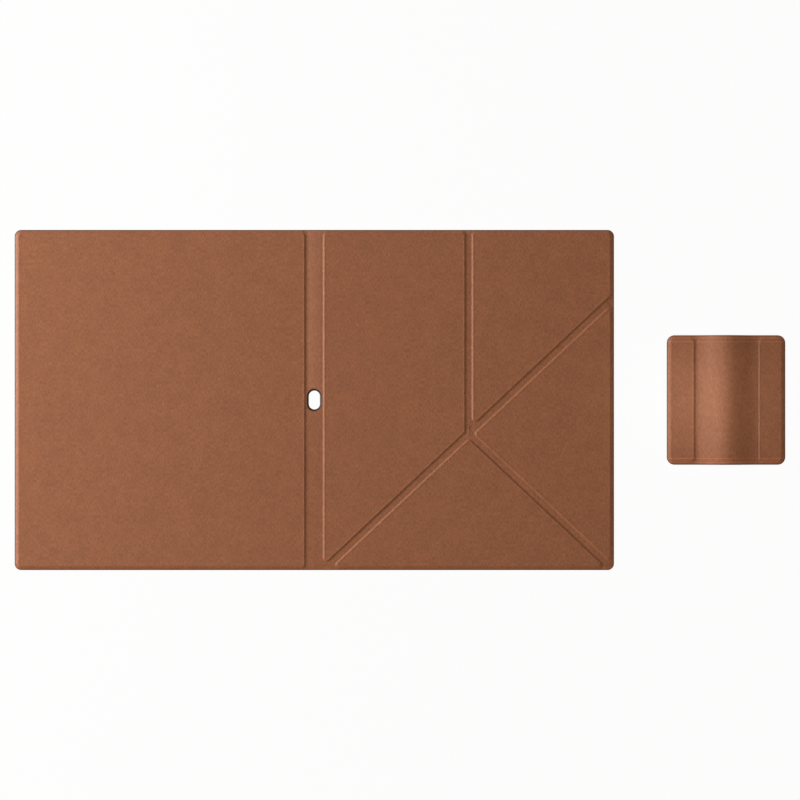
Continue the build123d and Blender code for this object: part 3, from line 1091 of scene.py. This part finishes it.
def arch_point(x, offset, shape):
    """The point this far above the arch's underside, square to it."""
    start, end = ARCH_START + shape.lap, ARCH_END - shape.lap
    turn = 2 * math.pi * max(0.0, min(1.0, (x - start) / (end - start)))
    slope = ARCH_RISE * math.pi / (end - start) * math.sin(turn)
    level = math.hypot(1, slope)
    height = ARCH_RISE * (1 - math.cos(turn)) / 2
    return x - offset * slope / level, height + offset / level


def arch_fill(x, y, shape):
    """How much thicker the arch's skin is beside a tab than on its crest."""
    turn = 2 * math.pi * (x - ARCH_START) / (ARCH_END - ARCH_START)
    filled = fold_height(Vector((x, y)), flap_plan(shape), shape) - FLANGE_TOP
    return filled * (1 + math.cos(turn)) / 2


def arch_rows(x_low, x_high, layer_low, layer_high, shape, is_skin):
    """The upper and lower faces of a length of the arch, in rows across its ends."""
    steps = round(ARCH_STEPS * (x_high - x_low) / (ARCH_END - ARCH_START))
    ends = [(FLAP_TOP - inset, down) for inset, down in quarter_round(shape.hem_round)]
    for groove in GROOVES:
        line = FLAP_TOP - groove
        ends += [(y, 0.0) for y in spaced(line - 2 * GROOVE_HALF, line + 2 * GROOVE_HALF, 8)]
    ends += [(y, 0.0) for y in spaced(0.0, FLAP_TOP, 5)[1:-1]]
    ends.sort(reverse=True)
    columns = ends + [(0.0, 0.0)] + [(-y, down) for y, down in reversed(ends)]
    rows, rows_below = [], []
    for x in spaced(x_low, x_high, steps):
        row = []
        for y, down in columns:
            sink = down - arch_fill(x, y, shape) if is_skin else 0.0
            for groove in GROOVES if is_skin else ():
                from_line = (FLAP_TOP - abs(y) - groove) / GROOVE_HALF
                sink += shape.arch_groove * math.exp(-(from_line**2))
            point_x, z = arch_point(x, layer_high - sink, shape)
            row.append(Vector((point_x, y, z)))
        rows.append(row)
        below_x, below_z = arch_point(x, layer_low, shape)
        rows_below.append([Vector((below_x, y, below_z)) for y, _ in columns])
    return rows, rows_below


def add_arch(scene):
    """The arch in three lengths, each over one of its folds."""
    shape = scene.case_shape
    run = ARCH_END - ARCH_START
    rear_join, front_join = ARCH_START + run * ARCH_SPLIT, ARCH_END - run * ARCH_SPLIT
    for layer, low_edge, high_edge in (("lining", 0.0, LINING_TOP), ("skin", LINING_TOP, FLANGE_TOP)):
        is_skin = layer == "skin"
        lap = shape.lap if is_skin else 0.0
        paint = leather(scene) if is_skin else fold_lining(scene)
        for name, first, second, x_low, x_high, nodes in (
            (
                "rear", "flap_rear_tab", "flap_rear_bridge",
                ARCH_START + lap, rear_join, ("rear_bend", "rear_bridge"),
            ),
            (
                "crest", "flap_rear_bridge", "flap_front_bridge",
                rear_join, front_join, ("crest",),
            ),
            (
                "front", "flap_front_bridge", "flap_front_tab",
                front_join, ARCH_END - lap, ("front_bridge", "front_bend"),
            ),
        ):
            bm = slab(*arch_rows(x_low, x_high, low_edge, high_edge, shape, is_skin))
            nodes = [f"flap_{node}_{layer}" for node in nodes]
            title = f"flap_{name}_arch_" + ("leather" if is_skin else "microfibre")
            made = piece(title, bm, paint, nodes)
            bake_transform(made)


# ---- Operators ----
class CASE_OT_back_panel(bpy.types.Operator):
    """Skin of the back panel"""

    bl_idname = "case.back_panel"
    bl_label = "Back Panel"

    def execute(self, context):
        add_stiff_skin(context.scene, "back", spread_plan(context.scene.case_shape))
        return {"FINISHED"}


class CASE_OT_leaves(bpy.types.Operator):
    """Skins of the front cover's four leaves"""

    bl_idname = "case.leaves"
    bl_label = "Cover Leaves"

    def execute(self, context):
        for name in ("spine_leaf", "top_leaf", "fore_leaf", "foot_leaf"):
            add_stiff_skin(context.scene, name, spread_plan(context.scene.case_shape))
        return {"FINISHED"}


class CASE_OT_creases(bpy.types.Operator):
    """Flexible strips between the leaves, skin and lining"""

    bl_idname = "case.creases"
    bl_label = "Creases"

    def execute(self, context):
        add_webs(context.scene, "skin")
        add_webs(context.scene, "lining")
        return {"FINISHED"}


class CASE_OT_spine(bpy.types.Operator):
    """Spine with its cable slot, and the folds on both sides of it"""

    bl_idname = "case.spine"
    bl_label = "Spine"

    def execute(self, context):
        add_spine(context.scene)
        return {"FINISHED"}


class CASE_OT_flap_tabs(bpy.types.Operator):
    """Skins of the flap's two stiff tabs"""

    bl_idname = "case.flap_tabs"
    bl_label = "Flap Tabs"

    def execute(self, context):
        for name in ("flap_rear_tab", "flap_front_tab"):
            add_stiff_skin(context.scene, name, flap_plan(context.scene.case_shape))
        return {"FINISHED"}


class CASE_OT_flap_arch(bpy.types.Operator):
    """Soft arch of the flap, skin and lining"""

    bl_idname = "case.flap_arch"
    bl_label = "Flap Arch"

    def execute(self, context):
        add_arch(context.scene)
        return {"FINISHED"}


class CASE_OT_inside(bpy.types.Operator):
    """Linings, boards, magnets and the spine's strip, which keep the shapes of the frame"""

    bl_idname = "case.inside"
    bl_label = "Linings and Inner Parts"

    def execute(self, context):
        finish = context.scene.case_finish
        paints = {
            "lining": lining_material("panel_microfibre", finish, False),
            "board": board_material(finish),
            "strip": bpy.data.materials["fibre_board"],
            "magnet": magnet_material(finish),
            "magnets": bpy.data.materials["magnet_plating"],
        }
        for name, node in frame["nodes"].items():
            kind = name.rsplit("_", 1)[-1]
            if node.hide_render or kind not in paints:
                continue
            node.data.materials.clear()
            node.data.materials.append(paints[kind])
        return {"FINISHED"}


class CASE_OT_stage(bpy.types.Operator):
    """Camera, lamps, world and floor"""

    bl_idname = "case.stage"
    bl_label = "Stage"

    def execute(self, context):
        scene, stage = context.scene, context.scene.case_stage
        scene.view_settings.view_transform = "Standard"
        add_camera(scene, stage)
        low_key = add_area("low_key_lamp", 16, (0.5, 0.3), stage.key_power)
        high_key = add_area("high_key_lamp", 31, (0.5, 0.4), stage.high_key_power)
        fill = add_area("fill_lamp", 68, (0.9, 0.9), stage.fill_power)
        steep = add_spot("flap_steep_lamp", (0.07, 0.08, 0.9), 8.7, stage.flap_power)
        low_power = stage.flap_power * LOW_SPOT_SHARE
        low = add_spot("flap_low_lamp", (-0.35, 0.1, 0.72), 6.5, low_power)
        floor = add_floor(stage)
        set_world(scene, stage)
        return {"FINISHED"}


def aimed(name, data, place, target):
    made = bpy.data.objects.new(name, data)
    made.location = place
    made.rotation_euler = (Vector(target) - Vector(place)).to_track_quat("-Z", "Y").to_euler()
    made.visible_camera = False
    bpy.context.scene.collection.objects.link(made)
    return made


def add_camera(scene, stage):
    data = bpy.data.cameras.new("camera")
    data.lens = data.sensor_width * stage.camera_height / stage.view_width
    data.clip_end = 50.0
    camera = bpy.data.objects.new("camera", data)
    camera.location = (stage.view_x, 0, stage.camera_height)
    scene.collection.objects.link(camera)
    scene.camera = camera


LAMP_TARGET = Vector((-0.05, 0, 0))
LAMP_TURN = math.radians(10)  # from straight left towards the back
LAMP_DISTANCE = 1.6
FLAP_TARGET = Vector((ARCH_START, 0, 0))
SPOT_RADIUS = 0.04
LOW_SPOT_SHARE = 0.35  # of the power of the steep one
FLOOR_REACH = 8.0
FLOOR_DROP = 0.3 * MM  # below the lining
FLOOR_SEEN_BY = "Camera", "Glossy", "Transmission"


def add_area(name, elevation, size, power):
    """A soft lamp on the left, at this many degrees above the floor."""
    data = bpy.data.lights.new(name, "AREA")
    data.shape = "RECTANGLE"
    data.size, data.size_y = size
    data.energy = power
    level = LAMP_DISTANCE * math.cos(math.radians(elevation))
    rise = LAMP_DISTANCE * math.sin(math.radians(elevation))
    way = Vector((-level * math.cos(LAMP_TURN), level * math.sin(LAMP_TURN), rise))
    return aimed(name, data, LAMP_TARGET + way, LAMP_TARGET)


def add_spot(name, place, spread, power):
    """A narrow lamp, this many degrees wide, on the flap's left tab."""
    data = bpy.data.lights.new(name, "SPOT")
    data.energy, data.spot_size, data.spot_blend = power, math.radians(spread), 1.0
    data.shadow_soft_size = SPOT_RADIUS
    return aimed(name, data, place, FLAP_TARGET)


def add_floor(stage):
    """A wide floor that is plain white where it is seen or mirrored, but for a faint shadow."""
    mesh = bpy.data.meshes.new("floor")
    sides = ((-1, -1), (1, -1), (1, 1), (-1, 1))
    mesh.from_pydata([(x * FLOOR_REACH, y * FLOOR_REACH, 0) for x, y in sides], [], [(0, 1, 2, 3)])
    floor = bpy.data.objects.new("floor", mesh)
    floor.location.z = -FLOOR_DROP
    bpy.context.scene.collection.objects.link(floor)
    paint = Paint("pale_floor")
    paint.feed(paint.shader.inputs["Base Color"], opaque(stage.floor))
    paint.shader.inputs["Roughness"].default_value = 0.9
    white = paint.node("ShaderNodeEmission", {}, {"Color": (1, 1, 1, 1), "Strength": 1.0})
    light_path = paint.node("ShaderNodeLightPath", {}, {})
    seen = sum(Field(paint, light_path.outputs[f"Is {ray} Ray"]) for ray in FLOOR_SEEN_BY)
    inputs = {0: seen * stage.floor_white, 1: paint.shader.outputs[0], 2: white.outputs[0]}
    mix = paint.node("ShaderNodeMixShader", {}, inputs)
    output = paint.tree.nodes["Material Output"]
    paint.feed(output.inputs["Surface"], mix.outputs[0])
    mesh.materials.append(paint.material)
    return floor


def set_world(scene, stage):
    world = bpy.data.worlds.new("studio")
    scene.world = world
    world.use_nodes = True
    tree = world.node_tree
    tree.nodes.clear()
    even, seen = tree.nodes.new("ShaderNodeBackground"), tree.nodes.new("ShaderNodeBackground")
    even.inputs["Color"].default_value = opaque(stage.world_tint)
    even.inputs["Strength"].default_value = stage.world_strength
    seen.inputs["Color"].default_value = (1, 1, 1, 1)
    mix, light_path = tree.nodes.new("ShaderNodeMixShader"), tree.nodes.new("ShaderNodeLightPath")
    output = tree.nodes.new("ShaderNodeOutputWorld")
    tree.links.new(light_path.outputs["Is Camera Ray"], mix.inputs[0])
    tree.links.new(even.outputs[0], mix.inputs[1])
    tree.links.new(seen.outputs[0], mix.inputs[2])
    tree.links.new(mix.outputs[0], output.inputs[0])


OPERATORS = (
    CASE_OT_back_panel,
    CASE_OT_leaves,
    CASE_OT_creases,
    CASE_OT_spine,
    CASE_OT_flap_tabs,
    CASE_OT_flap_arch,
    CASE_OT_inside,
    CASE_OT_stage,
)


class CASE_PT_panel(bpy.types.Panel):
    """Lists the steps that dress the case"""

    bl_idname = "CASE_PT_panel"
    bl_label = "Folding Reader Case"
    bl_space_type = "VIEW_3D"
    bl_region_type = "UI"
    bl_category = "Reader Case"

    def draw(self, context):
        for operator in OPERATORS:
            self.layout.operator(operator.bl_idname)
        for settings in (
            context.scene.case_shape,
            context.scene.case_finish,
            context.scene.case_stage,
        ):
            box = self.layout.box()
            for name in settings.__annotations__:
                box.prop(settings, name)


GROUPS = {"case_shape": CaseShape, "case_finish": CaseFinish, "case_stage": StageSettings}


def register():
    for group in GROUPS.values():
        bpy.utils.register_class(group)
    for name, group in GROUPS.items():
        setattr(bpy.types.Scene, name, PointerProperty(type=group))
    for operator in OPERATORS:
        bpy.utils.register_class(operator)
    bpy.utils.register_class(CASE_PT_panel)


def unregister():
    bpy.utils.unregister_class(CASE_PT_panel)
    for operator in reversed(OPERATORS):
        bpy.utils.unregister_class(operator)
    for name in GROUPS:
        delattr(bpy.types.Scene, name)
    for group in reversed(GROUPS.values()):
        bpy.utils.unregister_class(group)


def main():
    register()
    bpy.ops.case.back_panel()
    bpy.ops.case.leaves()
    bpy.ops.case.creases()
    bpy.ops.case.spine()
    bpy.ops.case.flap_tabs()
    bpy.ops.case.flap_arch()
    bpy.ops.case.inside()
    bpy.ops.case.stage()


if __name__ == "__main__":
    main()
